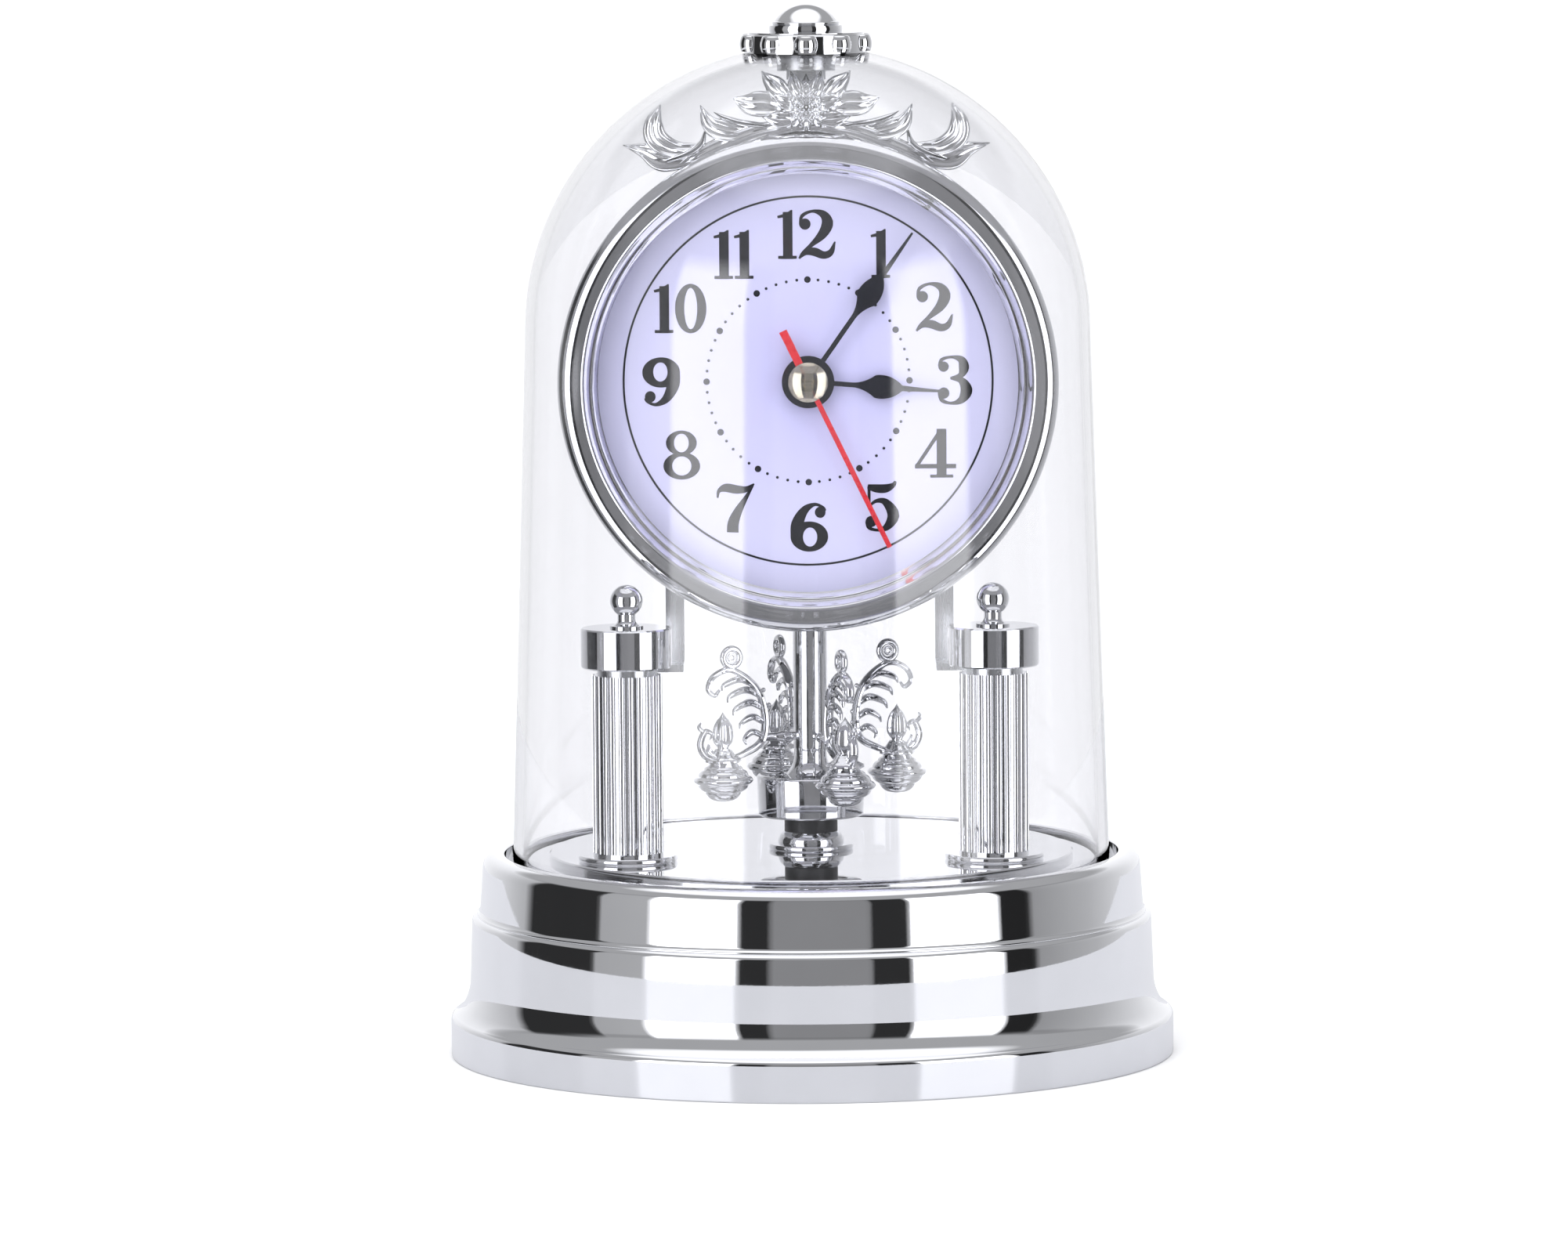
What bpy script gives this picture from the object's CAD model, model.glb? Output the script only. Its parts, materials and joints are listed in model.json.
"""Looks of the anniversary clock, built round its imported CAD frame.

Lengths in this file are millimetres unless a name says otherwise; MM turns them into metres.
Head coordinates have their origin at the dial's centre: x to the right, y up, w towards the viewer.
"""
import json
from math import cos, hypot, pi, radians, sin

import bmesh
import bpy
import numpy as np
from mathutils import Matrix, Vector
from mathutils.geometry import delaunay_2d_cdt


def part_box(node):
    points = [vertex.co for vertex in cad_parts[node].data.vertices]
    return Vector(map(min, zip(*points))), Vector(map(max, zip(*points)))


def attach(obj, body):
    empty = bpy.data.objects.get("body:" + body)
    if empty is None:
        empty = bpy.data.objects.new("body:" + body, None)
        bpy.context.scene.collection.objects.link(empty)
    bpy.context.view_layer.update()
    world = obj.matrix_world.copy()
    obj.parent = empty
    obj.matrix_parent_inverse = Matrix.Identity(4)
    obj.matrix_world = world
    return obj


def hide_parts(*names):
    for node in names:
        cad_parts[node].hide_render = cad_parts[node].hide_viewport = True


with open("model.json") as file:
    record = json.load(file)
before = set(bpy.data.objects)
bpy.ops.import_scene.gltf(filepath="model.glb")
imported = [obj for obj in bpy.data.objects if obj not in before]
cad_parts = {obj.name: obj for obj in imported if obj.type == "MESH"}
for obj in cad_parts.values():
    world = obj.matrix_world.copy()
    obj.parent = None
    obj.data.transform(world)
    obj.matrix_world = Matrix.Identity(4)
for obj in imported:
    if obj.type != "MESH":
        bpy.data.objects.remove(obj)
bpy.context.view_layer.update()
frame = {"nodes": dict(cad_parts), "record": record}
scene = bpy.context.scene
MM = 0.001


# ---------------------------------------------------------------- where the CAD says things are
def middle(node):
    low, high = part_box(node)
    return (low + high) / 2 / MM


DIAL_Z = middle("dial_plate").z


# ---------------------------------------------------------------- node helpers
class Nodes:
    """Adds nodes to a tree. Inputs take numbers, colours or the outputs of other nodes."""

    def __init__(self, tree):
        self.tree = tree

    def add(self, kind, **inputs):
        node = self.tree.nodes.new(kind)
        for name, value in inputs.items():
            self.plug(node.inputs[name.replace("_", " ")], value)
        return node

    def plug(self, socket, value):
        if isinstance(value, bpy.types.NodeSocket):
            self.tree.links.new(value, socket)
        elif isinstance(value, tuple) and len(value) == 3 and socket.type == "RGBA":
            socket.default_value = (*value, 1.0)
        else:
            socket.default_value = value

    def math(self, operation, *values):
        node = self.add("ShaderNodeMath")
        node.operation = operation
        for socket, value in zip(node.inputs, values):
            self.plug(socket, value)
        return node.outputs[0]

    def mix(self, share, a, b, blend="MIX"):
        node = self.add("ShaderNodeMix")
        node.data_type = "RGBA"
        node.blend_type = blend
        for socket, value in ((node.inputs[0], share), (node.inputs[6], a), (node.inputs[7], b)):
            self.plug(socket, value)
        return node.outputs[2]

    def ramp(self, share, stops):
        """Grey value that runs through the stops, which are rows of (place, value)."""
        node = self.add("ShaderNodeValToRGB", Fac=share)
        elements = node.color_ramp.elements
        for index, (at, value) in enumerate(stops):
            element = elements[index] if index < 2 else elements.new(at)
            element.position = at
            element.color = (value, value, value, 1)
        return node.outputs[0]


class Shader(Nodes):
    """One node material with a Principled shader; methods add nodes and return their output."""

    def __init__(self, name, **settings):
        self.material = bpy.data.materials.new(name)
        self.material.use_nodes = True
        super().__init__(self.material.node_tree)
        self.principled = self.tree.nodes["Principled BSDF"]
        self.output = self.tree.nodes["Material Output"]
        for socket, value in settings.items():
            self.set(socket.replace("_", " "), value)
        self.place = self.add("ShaderNodeTexCoord").outputs["Object"]

    def set(self, name, value):
        self.plug(self.principled.inputs[name], value)

    def tones(self, pattern, one, other, at=(0.3, 0.7)):
        """Base colour that follows a pattern from one tone to the other."""
        self.set("Base Color", self.mix(self.spread(pattern, 0, 1, at), one, other))

    def either(self, share, one, other):
        """Mix of two shader nodes."""
        node = self.add("ShaderNodeMixShader")
        for socket, value in zip(node.inputs, (share, one.outputs[0], other.outputs[0])):
            self.plug(socket, value)
        return node

    def noise(self, scale, detail=3.0, roughness=0.5, stretch=(1, 1, 1)):
        place = self.add("ShaderNodeMapping", Vector=self.place, Scale=stretch).outputs[0]
        return self.add("ShaderNodeTexNoise", Vector=place, Scale=scale, Detail=detail,
                        Roughness=roughness).outputs["Fac"]

    def spread(self, value, low, high, at=(0.3, 0.7)):
        """value, from at[0] to at[1], stretched to low to high."""
        node = self.add("ShaderNodeMapRange", Value=value)
        for name, number in zip(("From Min", "From Max", "To Min", "To Max"), (*at, low, high)):
            node.inputs[name].default_value = number
        return node.outputs[0]

    def axis(self, name):
        return self.add("ShaderNodeSeparateXYZ", Vector=self.place).outputs[name]

    def bump(self, height, depth_mm):
        """Raises the surface by height times depth, on top of any bump it has already."""
        before = self.principled.inputs["Normal"]
        chain = before.links[0].from_socket if before.links else None
        node = self.add("ShaderNodeBump", Height=height, Strength=1.0, Distance=depth_mm * MM)
        if chain:
            self.plug(node.inputs["Normal"], chain)
        self.set("Normal", node.outputs[0])


# ---------------------------------------------------------------- materials, one per slot
def darker(tone, share):
    return tuple(share * c for c in tone)


def chrome_plating(name="chrome_plating", tone=(0.87, 0.875, 0.895), rough=(0.014, 0.042)):
    """Vacuum-metallised plastic: a mirror over moulded plastic that is never quite flat."""
    s = Shader(name, Metallic=1.0)
    s.tones(s.noise(90, 4), tone, darker(tone, 0.965))
    smear = s.noise(240, 5, 0.62, (1, 1, 0.35))
    s.set("Roughness", s.spread(smear, *rough))
    s.bump(s.noise(45, 1), 0.004)
    s.bump(s.noise(1500, 2), 0.0006)
    return s.material


def bracket_plating():
    s = Shader("bracket_plating", Metallic=1.0)
    grain = s.noise(900, 3, 0.6, (1, 1, 0.05))
    s.tones(grain, (0.80, 0.81, 0.83), (0.74, 0.75, 0.77))
    s.set("Roughness", s.spread(grain, 0.20, 0.32))
    s.bump(grain, 0.004)
    return s.material


def clear_plastic():
    """Polished polystyrene. Lamps reach what is inside through the Transparent shader."""
    s = Shader("clear_plastic", Roughness=0.0, IOR=1.56)
    s.set("Transmission Weight", 1.0)
    s.set("Base Color", (0.955, 0.955, 0.968))
    s.bump(s.noise(22, 1), 0.006)
    path = s.add("ShaderNodeLightPath")
    lamp = s.math("MAXIMUM", path.outputs["Is Shadow Ray"], path.outputs["Is Diffuse Ray"])
    clear = s.add("ShaderNodeBsdfTransparent", Color=(0.965, 0.965, 0.975))
    s.plug(s.output.inputs["Surface"], s.either(lamp, s.principled, clear).outputs[0])
    return s.material


def moulded(name, tone, rough, grain_mm=0.012):
    """Injection-moulded plastic with a fine spark-eroded grain and faint flow marks."""
    s = Shader(name)
    s.tones(s.noise(55, 3, 0.5, (1, 1, 0.3)), tone, darker(tone, 0.86))
    s.set("Roughness", s.spread(s.noise(600, 3), rough - 0.07, rough + 0.08))
    s.bump(s.noise(2600, 2), grain_mm)
    return s.material


def rubber():
    s = Shader("rubber")
    dust = s.noise(700, 5, 0.7)
    s.tones(dust, (0.035, 0.035, 0.037), (0.10, 0.10, 0.10), at=(0.45, 0.8))
    s.set("Roughness", s.spread(dust, 0.75, 0.95))
    s.bump(s.noise(1800, 3), 0.03)
    return s.material


def zinc_steel():
    s = Shader("zinc_steel", Metallic=1.0)
    grain = s.noise(1200, 4, 0.6, (0.15, 1, 1))
    s.tones(s.noise(150, 3), (0.78, 0.79, 0.80), (0.66, 0.68, 0.74))
    s.set("Roughness", s.spread(grain, 0.22, 0.42))
    s.bump(grain, 0.01)
    return s.material


def yoke_steel():
    s = Shader("yoke_steel", Metallic=1.0)
    grain = s.noise(1500, 4, 0.7, (1, 1, 0.08))
    s.tones(s.noise(300, 4), (0.52, 0.52, 0.54), (0.40, 0.40, 0.42))
    s.set("Roughness", s.spread(grain, 0.35, 0.5))
    s.bump(grain, 0.008)
    return s.material


def magnet():
    s = Shader("magnet", Metallic=1.0)
    s.tones(s.noise(500, 3), (0.47, 0.46, 0.45), (0.40, 0.40, 0.40))
    s.set("Roughness", s.spread(s.noise(900, 3), 0.15, 0.3))
    s.bump(s.noise(2000, 2), 0.004)
    return s.material


def copper_winding():
    """Enamelled wire, with one band for each turn."""
    s = Shader("copper_winding", Metallic=0.85)
    turns = s.add("ShaderNodeTexWave", Vector=s.place, Scale=1200.0, Distortion=0.4)
    turns.bands_direction = "Z"
    s.set("Base Color", s.mix(turns.outputs["Fac"], (0.30, 0.10, 0.035), (0.72, 0.30, 0.12)))
    s.set("Roughness", s.spread(s.noise(800, 2), 0.22, 0.38))
    s.bump(turns.outputs["Fac"], 0.06)
    return s.material


def circuit_board():
    """Green lacquered laminate with paler copper tracks."""
    s = Shader("circuit_board")
    s.set("Coat Weight", 0.5)
    brick = s.add("ShaderNodeTexBrick", Vector=s.place, Scale=160.0)
    brick.inputs["Mortar Size"].default_value = 0.02
    s.set("Base Color", s.mix(brick.outputs["Fac"], (0.02, 0.13, 0.06), (0.10, 0.30, 0.12)))
    s.set("Roughness", s.spread(s.noise(900, 3), 0.3, 0.5))
    s.bump(brick.outputs["Fac"], 0.035)
    return s.material


SHOULDER_X, STEEL_END_X = 12.5 * MM, 23.8 * MM     # from the middle of an AA cell


def battery_label():
    """Plain printed sleeve with a copper-coloured shoulder, between bare steel ends."""
    s = Shader("battery_label")
    x = s.axis("X")
    share = s.spread(x, 0, 1, (SHOULDER_X, SHOULDER_X + 0.1 * MM))
    s.set("Base Color", s.mix(share, (0.03, 0.033, 0.04), (0.62, 0.33, 0.14)))
    ends = s.math("GREATER_THAN", s.math("ABSOLUTE", x), STEEL_END_X)
    s.set("Metallic", s.math("MAXIMUM", ends, s.math("MULTIPLY", share, 0.6)))
    s.set("Roughness", s.spread(s.noise(700, 3), 0.22, 0.36))
    s.set("Coat Weight", 0.3)
    s.bump(s.noise(300, 2), 0.02)
    return s.material


def brass():
    s = Shader("brass", Metallic=1.0)
    s.tones(s.noise(300, 4), (0.83, 0.77, 0.60), (0.78, 0.70, 0.50))
    s.set("Roughness", s.spread(s.noise(900, 4, 0.6, (0.2, 1, 1)), 0.05, 0.13))
    s.bump(s.noise(700, 2), 0.001)
    return s.material


def dial_lavender():
    """Varnished lavender card, a little paler towards the rim."""
    rim = 45 * MM
    s = Shader("dial_lavender", Roughness=0.42)
    s.set("Coat Weight", 0.25)
    s.set("Coat Roughness", 0.12)
    x, z = s.axis("X"), s.math("SUBTRACT", s.axis("Z"), DIAL_Z * MM)
    radius = s.math("SQRT", s.math("ADD", s.math("POWER", x, 2.0), s.math("POWER", z, 2.0)))
    tone = s.mix(s.spread(radius, 0, 1, (0.0, rim)), (0.61, 0.60, 0.93), (0.76, 0.755, 0.98))
    fibre = s.noise(2400, 4, 0.7)
    s.set("Base Color", s.mix(s.spread(fibre, 0, 0.10, (0.35, 0.75)), tone, (0.78, 0.77, 0.97)))
    s.bump(fibre, 0.006)
    return s.material


def lacquer(name, tone, rough, coat=0.3, shine=0.4):
    """Painted sheet metal or printed ink."""
    s = Shader(name)
    s.set("Specular IOR Level", shine)
    s.set("Coat Weight", coat)
    s.set("Coat Roughness", 0.08)
    s.tones(s.noise(400, 3), tone, darker(tone, 0.8))
    s.set("Roughness", s.spread(s.noise(1100, 3), rough - 0.06, rough + 0.08))
    s.bump(s.noise(1600, 2), 0.003)
    return s.material


MATERIALS = {
    "chrome_plating": chrome_plating(),
    "bracket_plating": bracket_plating(),
    "clear_plastic": clear_plastic(),
    "black_plastic": moulded("black_plastic", (0.022, 0.022, 0.025), 0.45),
    "grey_plastic": moulded("grey_plastic", (0.40, 0.41, 0.43), 0.42),
    "white_gear_plastic": moulded("white_gear_plastic", (0.84, 0.84, 0.79), 0.36, 0.005),
    "rubber": rubber(),
    "zinc_steel": zinc_steel(),
    "yoke_steel": yoke_steel(),
    "magnet": magnet(),
    "copper_winding": copper_winding(),
    "circuit_board": circuit_board(),
    "battery_label": battery_label(),
    "brass": brass(),
    "dial_lavender": dial_lavender(),
    "black_hand": lacquer("black_hand", (0.008, 0.009, 0.014), 0.34, coat=0.1, shine=0.2),
    "red_hand": lacquer("red_hand", (0.80, 0.018, 0.030), 0.30),
}

for part in frame["record"]["subparts"]:
    for slot in frame["nodes"][part["node"]].material_slots:
        slot.material = MATERIALS[part["material_slot"]]


# ---------------------------------------------------------------- mesh helpers
def smooth_path(points, count):
    """Rows of numbers joined by a smooth curve through all of them."""
    p = np.array(points, float)
    p = np.vstack([2 * p[0] - p[1], p, 2 * p[-1] - p[-2]])
    rows = []
    for t in np.linspace(0, len(p) - 3, count):
        i = min(int(t), len(p) - 4)
        a, b, c, d = p[i:i + 4]
        f = t - i
        rows.append(0.5 * (2 * b + (c - a) * f + (2 * a - 5 * b + 4 * c - d) * f ** 2
                           + (3 * b - 3 * c + d - a) * f ** 3))
    return np.array(rows)


def directions(rows):
    """Unit direction of a path at each of its rows."""
    along = np.gradient(rows[:, :2], axis=0)
    return along / np.linalg.norm(along, axis=1)[:, None]


def bent(*steps, count=10):
    """Points of an outline. A number between two points is how far their edge bows to its left."""
    rows, here, bow = [], steps[0], 0.0
    for step in steps[1:]:
        if not isinstance(step, tuple):
            bow = step
            continue
        (x0, y0), (x1, y1) = here, step
        pieces = count if bow else 1
        for i in range(pieces):
            t = i / pieces
            lift = 4 * bow * t * (1 - t) / hypot(x1 - x0, y1 - y0)
            rows.append((x0 + (x1 - x0) * t - lift * (y1 - y0), y0 + (y1 - y0) * t + lift * (x1 - x0)))
        here, bow = step, 0.0
    rows.append(here)
    return rows


def skin(loops, closed=False):
    """Quads between loops of equal length, with a cap on each end unless the loops close."""
    loops = np.array(loops, float)
    rows, size = loops.shape[:2]
    faces = []
    for r in range(rows if closed else rows - 1):
        a, b = r * size, (r + 1) % rows * size
        faces += [(a + i, a + (i + 1) % size, b + (i + 1) % size, b + i) for i in range(size)]
    if not closed:
        faces += [tuple(range(size))[::-1], tuple(range((rows - 1) * size, rows * size))]
    return loops.reshape(-1, 3), faces


def turned(profile, segments=192, wave=None):
    """Closed (radius, height) outline turned about Z. wave(angle, height) scales the radius."""
    loops = []
    for i in range(segments):
        a = 2 * pi * i / segments
        scale = [wave(a, z) if wave else 1.0 for _, z in profile]
        loops.append([(r * k * cos(a), r * k * sin(a), z) for (r, z), k in zip(profile, scale)])
    return skin(loops, closed=True)


THINNEST = 0.03           # least half width and height of a swept piece


def sweep(points, section, count=30):
    """Rows (x, y, half width, height) swept along their smooth curve. section is a loop of (across, up)."""
    rows = smooth_path(points, count)
    rows[:, 2:] = np.maximum(rows[:, 2:], THINNEST)
    loops = []
    for (x, y, w, h), (tx, ty) in zip(rows, directions(rows)):
        loops.append([(x - ty * w * u, y + tx * w * u, h * v) for u, v in section])
    return skin(loops)


def joined(*parts):
    """One part from several."""
    verts, faces, start = [], [], 0
    for v, f in parts:
        verts.append(np.array(v, float))
        faces += [tuple(start + i for i in face) for face in f]
        start += len(v)
    return np.vstack(verts), faces


def moved(part, matrix):
    verts = np.array(part[0], float)
    m = np.array(matrix)
    return verts @ m[:3, :3].T + m[:3, 3], part[1]


def shift(x=0.0, y=0.0, z=0.0):
    return Matrix.Translation((x, y, z))


def about_z(degrees_round):
    return Matrix.Rotation(radians(degrees_round), 4, "Z")


# Head coordinates (x, y, w) to the clock's: x stays, y goes up from the dial's centre, w comes forwards.
HEAD = Matrix(((1, 0, 0, 0), (0, 0, -1, 0), (0, 1, 0, DIAL_Z), (0, 0, 0, 1)))
# Flat drawings (radius, height, depth) to a radial plane through the clock's axis.
RADIAL = Matrix(((1, 0, 0, 0), (0, 0, -1, 0), (0, 1, 0, 0), (0, 0, 0, 1)))
MIRROR_X = Matrix.Scale(-1, 4, (1, 0, 0))


WELD, DEGENERATE = 0.002, 0.001


def piece(name, part, body, slot, replaces=(), sharp=35.0, material=None):
    """One object from vertices in millimetres, riding on a CAD body."""
    verts, faces = part
    mesh = bpy.data.meshes.new(name)
    mesh.from_pydata((np.array(verts) * MM).tolist(), [], faces)
    work = bmesh.new()
    work.from_mesh(mesh)
    bmesh.ops.remove_doubles(work, verts=work.verts, dist=WELD * MM)
    bmesh.ops.dissolve_degenerate(work, edges=work.edges, dist=DEGENERATE * MM)
    bmesh.ops.recalc_face_normals(work, faces=work.faces)
    work.to_mesh(mesh)
    work.free()
    mesh.shade_smooth()
    mesh.set_sharp_from_angle(angle=radians(sharp))
    obj = bpy.data.objects.new(name, mesh)
    scene.collection.objects.link(obj)
    mesh.materials.append(material or MATERIALS[slot])
    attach(obj, body)
    if replaces:
        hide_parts(*replaces)
    return obj


# ---------------------------------------------------------------- printed dial
def ellipse(x, y, half_w, half_h, count=44):
    turns = [2 * pi * i / count for i in range(count)]
    return [(x + half_w * cos(a), y + half_h * sin(a)) for a in turns]


def pen(*points, count=26):
    """Outline of a stroke through rows (x, y, width)."""
    rows = smooth_path(points, count)
    along = directions(rows)
    side = np.stack([-along[:, 1], along[:, 0]], 1) * rows[:, 2:] / 2
    return [tuple(p) for p in np.vstack([rows[:, :2] + side, (rows[:, :2] - side)[::-1]])]


def box(x0, y0, x1, y1):
    return [(x0, y0), (x1, y0), (x1, y1), (x0, y1)]


def bowl(x, y, half_w, half_h, hole_w, hole_h, dx=0.0, dy=0.0):
    """Ring shape: an outline with its hole."""
    return ellipse(x, y, half_w, half_h), ellipse(x + dx, y + dy, hole_w, hole_h)


def redrawn(shape, change):
    """A shape with every point changed. A pair of outlines, a shape with its hole, stays a pair."""
    if isinstance(shape, tuple):
        return tuple([change(x, y) for x, y in loop] for loop in shape)
    return [change(x, y) for x, y in shape]


# Bold upright numerals: width, then their shapes. A pair of outlines is a shape with a hole.
DRAWN_H = 10.0            # height that they are drawn at
DIGIT_GAP = 0.35          # between the two digits of a number, at that height
ONE = (3.8, [box(1.0, 0.0, 2.95, 9.6), pen((0, 0.35, 0.62), (1.9, 0.34, 0.66), (3.8, 0.35, 0.62)),
             [(2.95, 9.3), (2.95, 10.0), (2.65, 10.0), (1.7, 9.35), (-0.15, 8.8), (-0.05, 8.3), (1.1, 8.45)]])
SIX = (7.7, [bowl(3.9, 3.05, 3.85, 3.1, 1.45, 1.95, 0.15, -0.1),
             pen((1.2, 2.6, 2.2), (1.45, 5.6, 2.5), (2.9, 8.4, 1.7), (5.0, 9.62, 0.72), (6.7, 9.0, 0.6),
                 (7.2, 8.3, 0.5)),
             ellipse(6.15, 8.0, 1.1, 1.15)])
DIGITS = {
    "0": (6.4, [bowl(3.2, 5.0, 3.2, 5.05, 1.32, 4.2)]),
    "1": ONE,
    "2": (7.7, [ellipse(1.35, 7.1, 1.15, 1.15),
                pen((0.28, 7.0, 0.3), (0.8, 8.8, 0.75), (2.9, 9.72, 0.6), (5.1, 9.05, 1.6),
                    (5.95, 7.25, 2.35), (4.9, 5.0, 1.9), (2.7, 2.9, 0.9), (0.9, 1.3, 0.6),
                    (0.15, 0.05, 0.45)),
                pen((0.3, 0.35, 0.5), (1.5, 1.35, 1.2), (3.2, 1.45, 1.75), (5.1, 0.75, 1.55),
                    (6.6, 1.35, 1.25), (7.45, 3.5, 0.3))]),
    "3": (7.2, [ellipse(1.35, 7.75, 1.05, 1.05), ellipse(1.35, 2.35, 1.15, 1.15),
                pen((0.32, 7.8, 0.3), (1.0, 9.2, 0.72), (3.0, 9.72, 0.58), (4.9, 9.2, 1.5), (5.5, 7.6, 2.1),
                    (4.8, 5.95, 1.2), (2.7, 5.35, 0.5)),
                pen((2.7, 5.4, 0.5), (4.9, 4.95, 1.4), (6.0, 2.9, 2.45), (4.9, 0.9, 1.5), (2.9, 0.28, 0.6),
                    (1.0, 0.85, 0.8), (0.25, 2.3, 0.3))]),
    "4": (8.6, [box(4.55, 0.0, 6.55, 10.0), box(3.2, 0.0, 7.9, 0.62), box(0.1, 1.9, 8.5, 2.8),
                [(5.9, 10.0), (5.1, 10.0), (0.1, 2.45), (0.9, 2.4), (4.9, 8.3)]]),
    "5": (7.4, [box(0.75, 4.9, 1.35, 9.2), ellipse(1.45, 2.05, 1.15, 1.15),
                pen((0.75, 9.25, 0.9), (2.4, 8.85, 1.65), (4.4, 8.8, 1.75), (6.0, 9.5, 1.0),
                    (6.45, 10.3, 0.5)),
                pen((0.95, 5.1, 0.5), (2.5, 6.25, 0.75), (4.4, 6.0, 1.5), (6.0, 3.4, 2.45), (4.7, 0.95, 1.5),
                    (2.8, 0.28, 0.62), (1.0, 0.75, 0.75), (0.35, 2.0, 0.3))]),
    "6": SIX,
    "7": (8.0, [pen((0.3, 7.1, 0.35), (0.6, 8.5, 0.8), (2.0, 9.15, 1.7), (4.2, 8.8, 1.75), (6.2, 8.85, 1.2),
                    (7.8, 9.9, 0.35)),
                pen((7.65, 9.7, 0.3), (6.1, 7.1, 0.9), (4.5, 4.4, 1.7), (3.5, 2.0, 2.3), (3.35, 0.0, 2.4))]),
    "8": (7.6, [bowl(3.75, 7.45, 3.15, 2.55, 1.5, 1.9), bowl(3.8, 2.75, 3.75, 2.8, 1.95, 1.95)]),
    "9": (SIX[0], [redrawn(shape, lambda x, y: (SIX[0] - x, DRAWN_H - y)) for shape in SIX[1]]),
}


def flat_union(shapes, low, high):
    """Plate whose outline is the union of flat shapes."""
    points, outlines, solid = [], [], []
    for number, shape in enumerate(shapes):
        loops = shape if isinstance(shape, tuple) else (shape,)
        for role, loop in enumerate(loops):
            area = sum(a[0] * b[1] - a[1] * b[0] for a, b in zip(loop, loop[1:] + loop[:1]))
            loop = loop if area > 0 else loop[::-1]
            outlines.append(list(range(len(points), len(points) + len(loop))))
            points += [Vector(p) for p in loop]
            solid.append((number, role))
    verts, _, faces, _, _, origin = delaunay_2d_cdt(points, [], outlines, 1, 1e-4)
    kept = []
    for face, sources in zip(faces, origin):
        roles = [solid[i] for i in sources]
        if any(role == 0 and (number, 1) not in roles for number, role in roles):
            kept.append(face)
    used = {}
    for face in kept:
        for a, b in zip(face, face[1:] + face[:1]):
            used[(a, b)] = used.get((a, b), 0) + 1
    rim = [(a, b) for a, b in used if (b, a) not in used]
    n = len(verts)
    body = [(v.x, v.y, low) for v in verts] + [(v.x, v.y, high) for v in verts]
    plate = [tuple(n + i for i in f) for f in kept] + [tuple(reversed(f)) for f in kept]
    plate += [(a, b, b + n, a + n) for a, b in rim]
    return np.array(body), plate


NUMERAL_H, NUMERAL_AT = 10.1, 30.2      # height, and distance from the dial's centre
PRINT_T, PRINT_SUNK = 0.05, 0.01        # thickness of the ink, and how far it sinks into the card
RING_R, RING_W = 38.0, 0.42
DOT_AT, HOUR_DOT_R, MINUTE_DOT_R = 20.9, 0.68, 0.30


def numeral(number):
    """The number's digits side by side, centred on the origin."""
    shapes, start = [], 0.0
    for digit in str(number):
        width, parts = DIGITS[digit]
        shapes += [redrawn(part, lambda x, y: (x + start, y)) for part in parts]
        start += width + DIGIT_GAP
    middle_x = (start - DIGIT_GAP) / 2
    size = NUMERAL_H / DRAWN_H
    return [redrawn(one, lambda x, y: ((x - middle_x) * size, (y - DRAWN_H / 2) * size)) for one in shapes]


def dial_print():
    """Numerals in matt black ink, and the minute dots and the thin ring in a glossier one."""
    low = -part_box("dial_plate")[0].y / MM - PRINT_SUNK
    high = low + PRINT_T
    numbers = []
    for hour in range(1, 13):
        a = radians(30 * hour)
        x, y = NUMERAL_AT * sin(a), NUMERAL_AT * cos(a)
        numbers.append(moved(flat_union(numeral(hour), low, high), shift(x, y)))
    ink = lacquer("black_ink", (0.006, 0.006, 0.010), 0.55, coat=0.0, shine=0.08)
    piece("dial_numerals", moved(joined(*numbers), HEAD), "frame", "black_hand", sharp=30, material=ink)
    ring = tuple(ellipse(0, 0, radius, radius, 256) for radius in (RING_R + RING_W / 2, RING_R - RING_W / 2))
    track = [flat_union([ring], low, high)]
    for minute in range(60):
        a = radians(6 * minute)
        size = HOUR_DOT_R if minute % 5 == 0 else MINUTE_DOT_R
        dot = ellipse(DOT_AT * sin(a), DOT_AT * cos(a), size, size, 20)
        track.append(flat_union([dot], low, high))
    piece("dial_track", moved(joined(*track), HEAD), "frame", "black_hand", sharp=30)


# ---------------------------------------------------------------- crest
# Leaf section: raised rims, hollow flanks and a midrib, on a flat back.
HALF_LEAF = ((1.0, 0.0), (1.0, 0.66), (0.96, 0.80), (0.86, 0.92), (0.74, 0.94), (0.60, 0.88), (0.45, 0.81),
             (0.28, 0.82), (0.12, 0.90))
LEAF = (*[(-u, v) for u, v in HALF_LEAF], (0.0, 0.93), *HALF_LEAF[::-1])
# Scroll section: a round back with a groove along it.
SCROLL = ((-1.0, 0.0), (-0.92, 0.6), (-0.62, 0.9), (-0.28, 0.95), (0.0, 0.80), (0.28, 0.95), (0.62, 0.9),
          (0.92, 0.6), (1.0, 0.0))
ROUND_SECTION = tuple((cos(2 * pi * i / 12), sin(2 * pi * i / 12)) for i in range(12))

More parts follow.
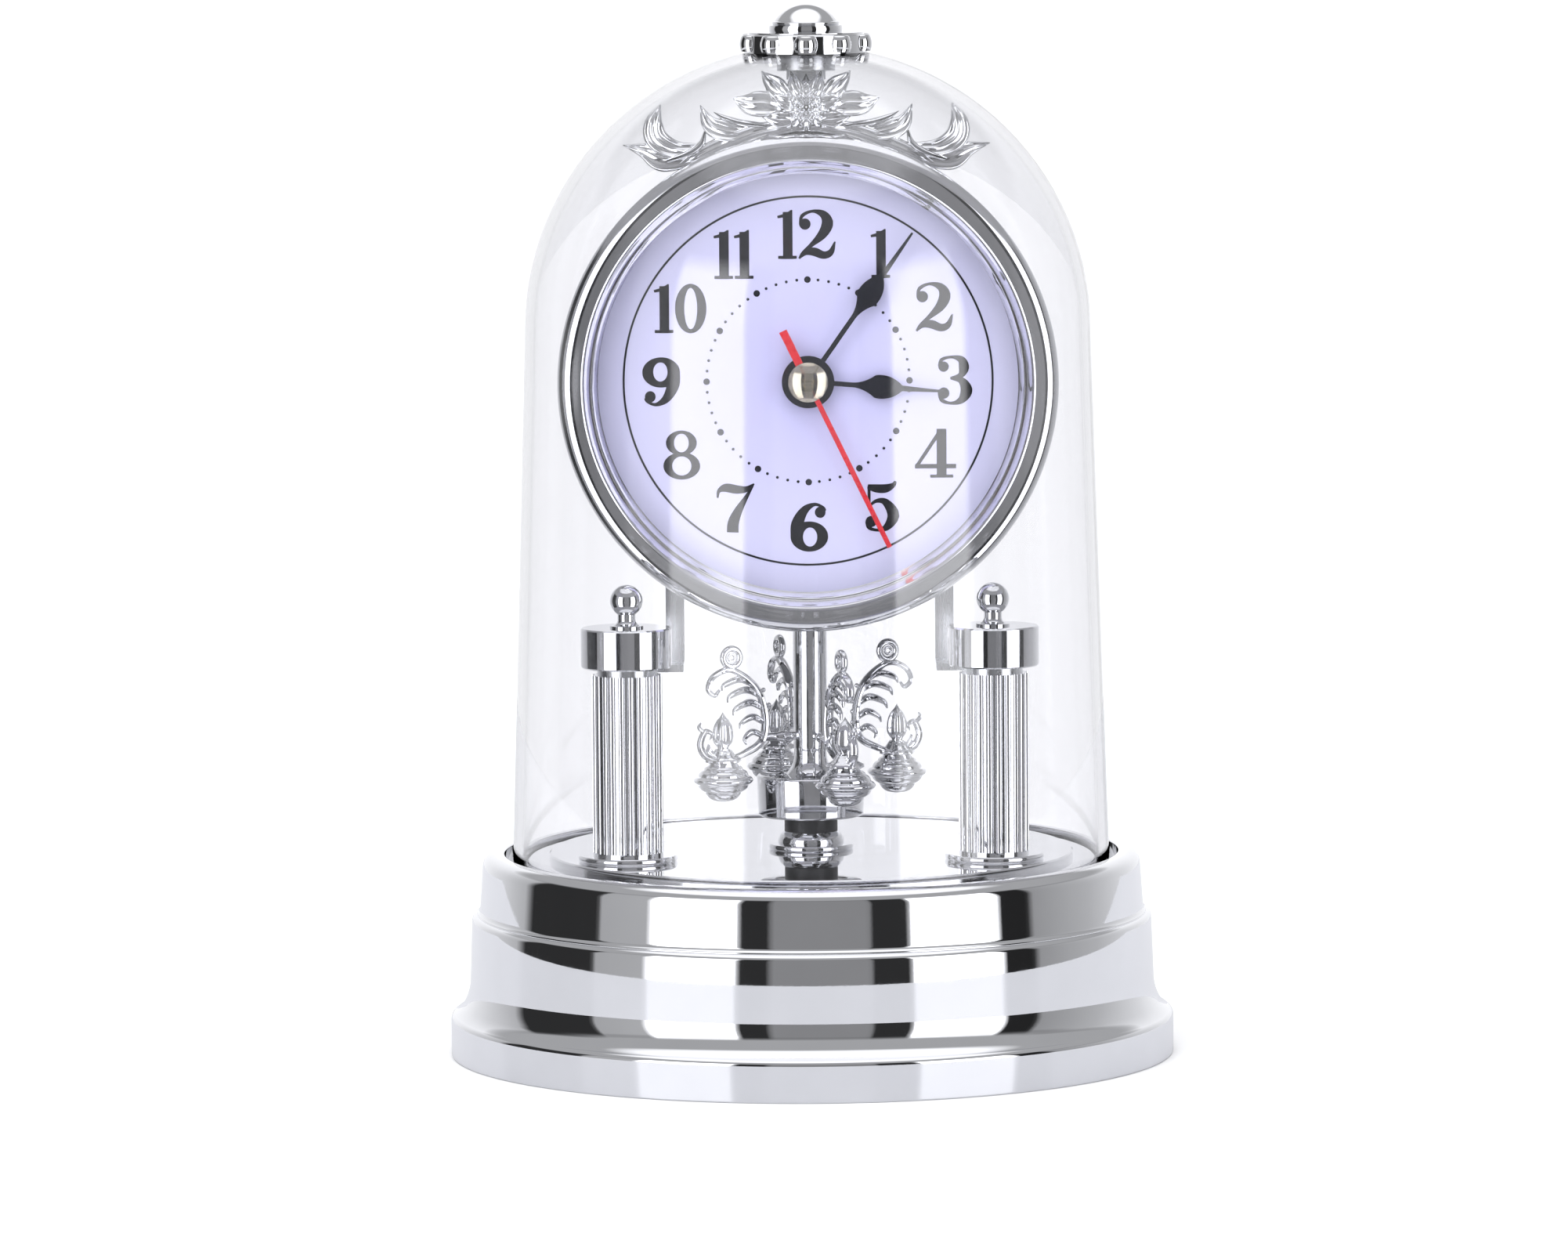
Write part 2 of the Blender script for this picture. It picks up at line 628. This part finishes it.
# Left half of the crest, from the outside in: rows of (x, y, half width, height) in head coordinates.
CREST_LEAVES = (
    (LEAF, ((-23.0, 46.4, 1.6, 2.4), (-29.3, 46.2, 2.9, 3.0), (-33.4, 47.7, 1.5, 2.6),
            (-37.4, 48.7, 0.1, 1.6))),
    (LEAF, ((-21.5, 48.0, 1.0, 2.8), (-26.8, 48.0, 1.8, 3.5), (-30.5, 50.0, 2.4, 4.0),
            (-31.0, 53.2, 1.9, 3.8), (-29.6, 56.8, 0.1, 2.2))),
    (SCROLL, ((-28.6, 45.6, 0.5, 3.4), (-24.4, 47.0, 0.8, 4.0), (-21.6, 48.9, 0.8, 3.8),
              (-20.7, 51.6, 0.3, 2.8))),
    (LEAF, ((-11.5, 51.0, 1.0, 2.8), (-16.4, 51.5, 2.1, 3.8), (-19.7, 53.0, 1.8, 3.8),
            (-21.6, 56.8, 0.1, 2.0))),
    (SCROLL, ((-8.0, 52.6, 0.6, 3.8), (-13.0, 53.2, 0.8, 4.2), (-16.8, 54.3, 0.6, 3.6),
              (-18.9, 55.4, 0.1, 2.6))),
    (LEAF, ((-4.0, 56.0, 1.2, 3.4), (-8.2, 57.0, 2.6, 4.6), (-11.8, 57.1, 2.2, 4.2),
            (-14.9, 58.2, 0.15, 2.2))),
    (LEAF, ((-3.0, 56.8, 1.0, 3.6), (-5.8, 60.0, 2.2, 4.8), (-7.8, 62.0, 1.3, 3.8), (-9.0, 63.5, 0.1, 2.2))),
    (LEAF, ((-0.6, 57.6, 0.8, 4.6), (-2.2, 60.8, 1.6, 5.0), (-3.1, 63.5, 0.1, 2.6))),
    (LEAF, ((-2.0, 52.4, 1.0, 3.4), (-9.0, 51.6, 1.8, 3.6), (-15.5, 49.4, 1.9, 3.4),
            (-21.5, 46.8, 1.6, 3.0), (-27.0, 44.0, 0.2, 2.2))),
    (LEAF, ((-2.0, 54.2, 0.9, 4.6), (-5.6, 53.9, 1.7, 5.0), (-9.6, 54.9, 0.1, 3.4))),
    (LEAF, ((-1.5, 57.0, 0.9, 5.0), (-4.4, 57.4, 1.5, 5.4), (-7.6, 58.9, 0.1, 4.2))),
)
MIDDLE_LEAF = ((0, 58.4, 0.7, 4.6), (0, 60.8, 1.3, 4.4), (0, 63.0, 0.1, 2.0))


# Rings of petals of the bud: how many, reach, half width, height and the direction of the first.
ROSEBUD = ((10, 5.2, 1.45, 5.2, 90), (8, 3.7, 1.25, 5.9, 67.5), (5, 2.3, 1.0, 6.5, 90))
ROSEBUD_Y = 56.4
BAND_HALF = 31            # degrees each way from the top of the bezel
BAND_OUT = 1.0            # from the bezel's edge to the middle of the band


def crest():
    """Leaves from both sides that meet in a rosebud, on a band that follows the bezel."""
    parts = []
    for section, rows in CREST_LEAVES:
        leaf = sweep(rows, section)
        parts += [leaf, moved(leaf, MIRROR_X)]
    parts.append(sweep(MIDDLE_LEAF, LEAF))
    for count, reach, width, rise, phase in ROSEBUD:
        for i in range(count):
            petal = sweep(((0.2, 0, 0.4, rise), (reach * 0.55, 0, width, rise + 0.2),
                           (reach, 0, 0.15, rise - 1.2)), LEAF, 16)
            parts.append(moved(petal, shift(0, ROSEBUD_Y) @ about_z(phase + 360 / count * i)))
    band_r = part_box("bezel_ring")[1].x / MM + BAND_OUT
    turns = [radians(90 + a) for a in np.linspace(-BAND_HALF, BAND_HALF, 60)]
    parts.append(sweep([(band_r * cos(a), band_r * sin(a), 1.0, 2.2) for a in turns], SCROLL, 90))
    back = -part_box("crest_ornament")[1].y / MM
    cast = chrome_plating("cast_chrome", tone=(0.95, 0.955, 0.97), rough=(0.09, 0.18))
    piece("crest_leaves", moved(joined(*parts), HEAD @ shift(0, 0, back)), "frame", "chrome_plating",
          ("crest_ornament",), sharp=50, material=cast)


# ---------------------------------------------------------------- pendulum ornaments
ORNAMENT_AT = 19.4        # radius at which the weights hang
ORNAMENT_TURN = 21.5      # degrees from the axes to the first ornament
BOTH_SIDES = ((-1.0, 0.0), (-0.8, 0.62), (-0.4, 1.0), (0.0, 0.74), (0.4, 1.0), (0.8, 0.62), (1.0, 0.0),
              (0.8, -0.62), (0.4, -1.0), (0.0, -0.74), (-0.4, -1.0), (-0.8, -0.62))
# Scroll in its radial plane: rows of (radius, height, half width, half thickness).
SCROLL_LINES = (
    ((17.9, 61.9, 0.5, 0.7), (14.9, 62.7, 0.75, 0.9), (10.9, 65.2, 0.85, 1.0), (10.1, 70.4, 0.85, 1.0),
     (12.1, 76.4, 0.8, 1.0), (17.2, 80.2, 0.7, 0.9), (21.2, 79.2, 0.65, 0.8), (22.6, 76.6, 0.6, 0.7),
     (21.2, 75.1, 0.5, 0.6), (20.1, 76.2, 0.3, 0.5)),
    ((12.6, 76.9, 0.5, 0.7), (15.6, 78.2, 0.75, 0.8), (18.9, 77.2, 0.6, 0.6), (19.6, 76.0, 0.15, 0.3)),
    ((11.2, 74.6, 0.5, 0.7), (14.2, 76.0, 0.8, 0.8), (17.6, 74.9, 0.6, 0.6), (18.4, 73.5, 0.15, 0.3)),
    ((10.4, 71.8, 0.5, 0.7), (13.2, 73.3, 0.8, 0.8), (16.4, 72.2, 0.6, 0.6), (17.2, 70.8, 0.15, 0.3)),
    ((10.2, 68.9, 0.5, 0.7), (12.7, 70.3, 0.75, 0.8), (15.2, 69.2, 0.5, 0.6), (15.8, 68.0, 0.15, 0.3)),
    ((10.6, 66.2, 0.5, 0.7), (12.8, 67.2, 0.7, 0.8), (14.6, 65.9, 0.5, 0.5), (14.3, 64.6, 0.15, 0.3)),
    ((20.6, 61.9, 0.5, 0.7), (23.2, 62.6, 0.8, 0.8), (24.4, 65.0, 0.8, 0.8), (23.4, 67.6, 0.7, 0.7),
     (21.9, 67.2, 0.4, 0.5), (22.3, 65.9, 0.15, 0.4)),
    ((20.9, 62.2, 0.4, 0.7), (22.4, 63.6, 0.7, 0.8), (22.6, 65.2, 0.15, 0.4)),
    ((23.4, 67.4, 0.4, 0.6), (24.6, 68.6, 0.5, 0.6), (24.2, 69.7, 0.12, 0.3)),
)


RING_AT = (17.4, 82.8)    # radius and height of the ring on top of a scroll
# Rod from the stem to the scroll, thicker at one knot: radius and half thickness.
ROD_Z = 66.0
ROD = ((2.9, 0.85), (4.6, 0.85), (6.2, 1.2), (7.8, 0.85), (10.4, 0.85))
# Small balls on the scroll: radius, height and their own radius.
BEADS = ((9.2, 72.6, 0.55), (9.4, 68.2, 0.5), (10.4, 75.8, 0.5), (9.5, 70.4, 0.6), (12.6, 63.6, 0.6))
ON_AXIS = 0.001           # radius of a turned outline where it meets its axis


def ring_of(x, y, ring_r, bar_r, count=28, sides=10):
    """Ring of round bar in its own plane."""
    section = [2 * pi * k / sides for k in range(sides)]
    loops = []
    for i in range(count):
        a = 2 * pi * i / count
        loops.append([(x + (ring_r + bar_r * cos(b)) * cos(a), y + (ring_r + bar_r * cos(b)) * sin(a),
                       bar_r * sin(b)) for b in section])
    return skin(loops, closed=True)


def bead(x, y, r):
    half = ((ON_AXIS, -r), (0.5 * r, -0.86 * r), (0.86 * r, -0.5 * r), (r, 0), (0.86 * r, 0.5 * r),
            (0.5 * r, 0.86 * r), (ON_AXIS, r))
    return moved(turned(half, 12), shift(x, y))


def scroll_arm():
    """One arm: its scroll, the rings on top, the rod to the stem and the beads."""
    parts = [sweep(rows, BOTH_SIDES, 12 + 8 * len(rows)) for rows in SCROLL_LINES]
    parts += [ring_of(*RING_AT, 1.85, 0.72), ring_of(*RING_AT, 0.72, 0.3, 18)]
    parts.append(sweep([(r, ROD_Z, half, half) for r, half in ROD], ROUND_SECTION, 28))
    parts += [bead(*one) for one in BEADS]
    return moved(joined(*parts), RADIAL)


def collar():
    """Petalled cup between the scroll and its weight."""
    cup = [(0.6, 61.0), (3.0, 61.0), (3.7, 61.35), (3.6, 62.0), (2.6, 62.5), (2.0, 63.4), (1.6, 64.0),
           (0.6, 64.0)]
    return moved(turned(cup, 48, lambda a, z: 1 + 0.07 * cos(6 * a)), shift(ORNAMENT_AT))


def all_round(one):
    """Four of a part, a quarter turn apart."""
    return joined(*[moved(one, about_z(ORNAMENT_TURN + 90 * i)) for i in range(4)])


def scroll_arms():
    piece("scroll_arms_relief", all_round(joined(scroll_arm(), collar())), "pendulum", "chrome_plating",
          ("scroll_arms",), sharp=60)


WEIGHT_Z = 57.5           # height of the weights' widest place
BUD_FOOT, BUD_TIP = 6.6, 14.2           # above that, the bud of the finial


def weights():
    """Onion-shaped balls with a ridge at the widest place and a budded finial."""
    z = WEIGHT_Z
    outline = bent((ON_AXIS, z - 4.6), (1.6, z - 4.3), -0.35, (3.7, z - 2.75), (3.75, z - 2.45), -0.3,
                   (5.3, z - 0.95), (5.55, z - 0.75), -0.12, (6.2, z), -0.12, (5.55, z + 0.75),
                   (5.2, z + 0.85), -0.22, (4.3, z + 2.2), (4.1, z + 2.3), -0.15, (3.3, z + 3.1),
                   (2.9, z + 3.4), (2.8, z + 4.5), 0.5, (1.1, z + 6.5), (1.25, z + 6.9), -0.35,
                   (2.05, z + 9.6), -0.25, (1.1, z + 12.6), 0.1, (ON_AXIS, z + BUD_TIP), count=8)

    def lobes(a, height):
        above_foot, below_tip = height - z - BUD_FOOT, z + BUD_TIP - height
        bud = min(max(above_foot / 1.5, 0), 1) * min(max(below_tip / 2, 0), 1)
        return 1 + 0.10 * bud * cos(6 * a)
    one = moved(turned(outline, 72, lobes), shift(ORNAMENT_AT))
    piece("weights_turned", all_round(one), "pendulum", "chrome_plating", ("pendulum_weights",), sharp=40)


# ---------------------------------------------------------------- base
RIM_H = 7.3               # height of the upright rim
COLLAR_R = 63.6           # inside of the collar that the dome stands in
SHELF_R, SHELF_LOW, SHELF_TOP = 50.0, 36.2, 38.2    # shelf under the platform
SKIRT_R = 73.0            # inside of the rim
POST_AT, POST_R, POST_BORE_R = 62.0, 3.2, 1.2
POST_LOW, POST_TOP = 3.5, 36.3


def base_walls():
    """Outside and inside of the base shell, finely turned, with its four screw posts."""
    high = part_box("base_shell")[1]
    rim, top = high.x / MM, high.z / MM
    outline = bent((rim, 0.35), (rim, RIM_H), -0.28, (74.1, 8.75), 0.24, (72.04, 11.12), 0.248, (70.9, 15.7),
                   (70.70, 22.0), (70.46, 28.1), -0.25, (69.4, 29.3), -0.03, (69.32, 29.65), 0.126,
                   (68.78, 30.6), (68.2, top - 2.9), -0.72, (65.6, top), (64.0, top), -0.12,
                   (COLLAR_R, top - 0.4), (COLLAR_R, SHELF_TOP), (SHELF_R, SHELF_TOP), (SHELF_R, SHELF_LOW),
                   (66.2, SHELF_LOW), (66.3, 30.0), (68.1, 27.0), (68.8, 15.4), (70.4, 10.4),
                   (SKIRT_R, RIM_H), (SKIRT_R, 0.0), (rim - 0.35, 0.0), -0.1, (rim, 0.35), count=14)
    post = turned([(POST_BORE_R, POST_LOW), (POST_R, POST_LOW), (POST_R, POST_TOP),
                   (POST_BORE_R, POST_TOP)], 40)
    posts = [moved(post, about_z(45 + 90 * i) @ shift(POST_AT)) for i in range(4)]
    piece("base_walls", joined(turned(outline[:-1], 360), *posts), "frame", "chrome_plating",
          ("base_shell",), sharp=25)


# ---------------------------------------------------------------- bezel
OPENING_R = 43.0          # the dial seen through the bezel
LENS_SEAT_R, LENS_SEAT_W = 45.3, 10.4   # recess that takes the lens
CASE_SEAT_R, CASE_SEAT_W = 47.8, 9.1    # recess that takes the head case


def bezel():
    """Rounded outer edge, a narrow flat and a sloping inner wall with a fine step."""
    low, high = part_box("bezel_ring")
    outer, back, front = high.x / MM, -high.y / MM, -low.y / MM
    profile = bent((outer, back), (outer, front - 2.3), -0.52, (48.3, front - 0.05), -0.05, (46.4, front),
                   -0.106, (45.6, front - 0.6), (45.3, front - 1.1), (44.3, front - 2.8),
                   (44.1, front - 2.95), (44.0, front - 3.2), (OPENING_R, front - 4.4),
                   (OPENING_R, LENS_SEAT_W), (LENS_SEAT_R, LENS_SEAT_W), (LENS_SEAT_R, CASE_SEAT_W),
                   (CASE_SEAT_R, CASE_SEAT_W), (CASE_SEAT_R, back), count=14)
    piece("bezel_turned", moved(turned(profile, 300), HEAD), "frame", "chrome_plating", ("bezel_ring",),
          sharp=25)


# ---------------------------------------------------------------- second hand
SECOND_ANGLE = 154.1      # degrees clockwise from 12
SECOND_HUB_R, SECOND_HUB_BORE_R = 2.6, 0.5
NEEDLE = ((0, -11.7, 0.85, 0.3), (0, -2.0, 0.8, 0.3), (0, 3.0, 0.56, 0.3), (0, 20.0, 0.54, 0.3),
          (0, 38.0, 0.5, 0.3))
NEEDLE_SECTION = ((-1.0, 0.0), (-1.0, 0.6), (-0.8, 0.92), (-0.45, 1.0), (0.45, 1.0), (0.8, 0.92), (1.0, 0.6),
                  (1.0, 0.0))


def second_hand():
    """Needle, a little wider at its tail, with rounded long edges and a round hub."""
    low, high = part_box("second_hand")
    back, front = -high.y / MM, -low.y / MM
    height, edge = front - back, 0.08
    needle = sweep(NEEDLE, NEEDLE_SECTION, 40)
    hub = turned([(SECOND_HUB_BORE_R, 0.0), (SECOND_HUB_R, 0.0), (SECOND_HUB_R, height - edge),
                  (SECOND_HUB_R - edge, height), (SECOND_HUB_BORE_R, height)], 64)
    place = HEAD @ shift(0, 0, back) @ about_z(-SECOND_ANGLE)
    piece("second_hand_needle", moved(joined(needle, hub), place), "second_train", "red_hand",
          ("second_hand",), sharp=40)


base_walls()
bezel()
second_hand()
dial_print()
crest()
scroll_arms()
weights()


# ---------------------------------------------------------------- studio: camera, light, floor
CAMERA_AT = (0.0, -1.9, 0.2768)             # metres
CAMERA_AIM = (-0.00531, 0.0, 0.0906)
CAMERA_ROLL = -0.0070                       # radians
LENS, SENSOR = 211.7, 36.0


def make_camera():
    """Long lens at the front, a little above the clock."""
    data = bpy.data.cameras.new("camera")
    data.lens, data.sensor_width = LENS, SENSOR
    data.clip_start, data.clip_end = 0.05, 60.0
    camera = bpy.data.objects.new("camera", data)
    scene.collection.objects.link(camera)
    look = (Vector(CAMERA_AIM) - Vector(CAMERA_AT)).to_track_quat("-Z", "Y")
    roll = Matrix.Rotation(CAMERA_ROLL, 3, "Z").to_quaternion()
    camera.rotation_mode = "QUATERNION"
    camera.rotation_quaternion = look @ roll
    camera.location = CAMERA_AT
    scene.camera = camera


# Brightness round the horizon: 0 degrees is the viewer's side, positive to the right.
ROUND = ((-180, 1.15), (-155, 0.95), (-118, 0.50), (-113, 0.03), (-79, 0.03), (-77.5, 0.43), (-58, 0.47),
         (-56.5, 2.8), (-26.5, 2.8), (-25, 0.03), (-15, 0.03), (-13.5, 0.27), (19.5, 0.27), (21, 0.03),
         (33.5, 0.03), (35, 2.8), (66.5, 2.8), (68, 0.02), (80, 0.02), (83, 0.34), (112, 0.50), (155, 0.95),
         (180, 1.15))
# How much of that shows at each height above the horizon, and how bright the rest is.
UPWARDS = ((-90, 0.4, 0.60), (-30, 1.0, 0.6), (24, 1.0, 0.02), (31, 0.0, 0.42), (54, 0.0, 0.42),
           (61, 0.0, 1.25), (90, 0.0, 1.25))
SKY_TINT = (0.97, 0.975, 1.0)


def make_world():
    """Two tall soft boxes, a grey centre and dark flags between them, and a light ceiling."""
    world = bpy.data.worlds.new("studio")
    scene.world = world
    world.use_nodes = True
    n = Nodes(world.node_tree)
    direction = n.add("ShaderNodeTexCoord").outputs["Generated"]
    x, y, z = n.add("ShaderNodeSeparateXYZ", Vector=direction).outputs
    turn = n.math("ADD", n.math("DIVIDE", n.math("ARCTAN2", x, n.math("MULTIPLY", y, -1.0)), 2 * pi), 0.5)
    rise = n.math("ADD", n.math("DIVIDE", n.math("ARCSINE", z), pi), 0.5)
    round_light = n.ramp(turn, [((a + 180) / 360, v) for a, v in ROUND])
    shown = n.ramp(rise, [((e + 90) / 180, v) for e, v, _ in UPWARDS])
    rest = n.ramp(rise, [((e + 90) / 180, v) for e, _, v in UPWARDS])
    light = n.math("ADD", n.math("MULTIPLY", round_light, shown),
                   n.math("MULTIPLY", rest, n.math("SUBTRACT", 1.0, shown)))
    n.plug(n.tree.nodes["Background"].inputs["Color"], n.mix(1.0, light, SKY_TINT, blend="MULTIPLY"))


FLOOR_R, TABLE_R, TABLE_EDGE = 14.0, 0.72, 0.01     # metres
TABLE_POLISH = 0.14       # share of the table's surface that mirrors


def make_floor():
    """Pale floor. The plating mirrors a small polished table and, past its edge, the studio."""
    floor = bpy.data.meshes.new("floor")
    around = [(x, y, 0) for x, y in ellipse(0, 0, FLOOR_R, FLOOR_R, 96)]
    floor.from_pydata(around, [], [tuple(range(len(around)))])
    body = bpy.data.objects.new("floor", floor)
    scene.collection.objects.link(body)
    s = Shader("floor", Roughness=0.6)
    s.tones(s.noise(3, 3), (0.90, 0.90, 0.905), (0.885, 0.885, 0.89))
    path = s.add("ShaderNodeLightPath")
    mirrored = s.math("GREATER_THAN", path.outputs["Glossy Depth"], 0.5)
    through_dome = s.math("GREATER_THAN", path.outputs["Transmission Depth"], 0.5)
    matt = s.add("ShaderNodeBsdfDiffuse", Color=(0.60, 0.605, 0.63))
    polish = s.add("ShaderNodeBsdfGlossy", Color=(0.9, 0.9, 0.92), Roughness=0.10)
    table = s.either(TABLE_POLISH, matt, polish)
    place = s.add("ShaderNodeNewGeometry").outputs["Position"]
    reach = s.add("ShaderNodeVectorMath", Vector=place)
    reach.operation = "LENGTH"
    beyond = s.spread(reach.outputs["Value"], 0, 1, (TABLE_R - TABLE_EDGE, TABLE_R + TABLE_EDGE))
    beyond = s.math("MAXIMUM", beyond, through_dome)
    seen = s.either(beyond, table, s.add("ShaderNodeBsdfTransparent"))
    s.plug(s.output.inputs["Surface"], s.either(mirrored, s.principled, seen).outputs[0])
    floor.materials.append(s.material)


# Name, strength, angular size and tilt, in degrees.
LAMPS = (("ceiling", 1.55, 60, (12, -8, 0)), ("front_fill", 1.9, 70, (66, 0, -6)))


def make_lights():
    """Large soft lamps overhead and at the front, unseen in the plating and through the dome."""
    for name, energy, spread, tilt in LAMPS:
        data = bpy.data.lights.new(name, "SUN")
        data.energy, data.angle = energy, radians(spread)
        lamp = bpy.data.objects.new(name, data)
        scene.collection.objects.link(lamp)
        lamp.rotation_euler = [radians(a) for a in tilt]
        lamp.visible_camera = lamp.visible_glossy = lamp.visible_transmission = False


make_camera()
make_world()
make_floor()
make_lights()
scene.view_settings.view_transform = "Standard"
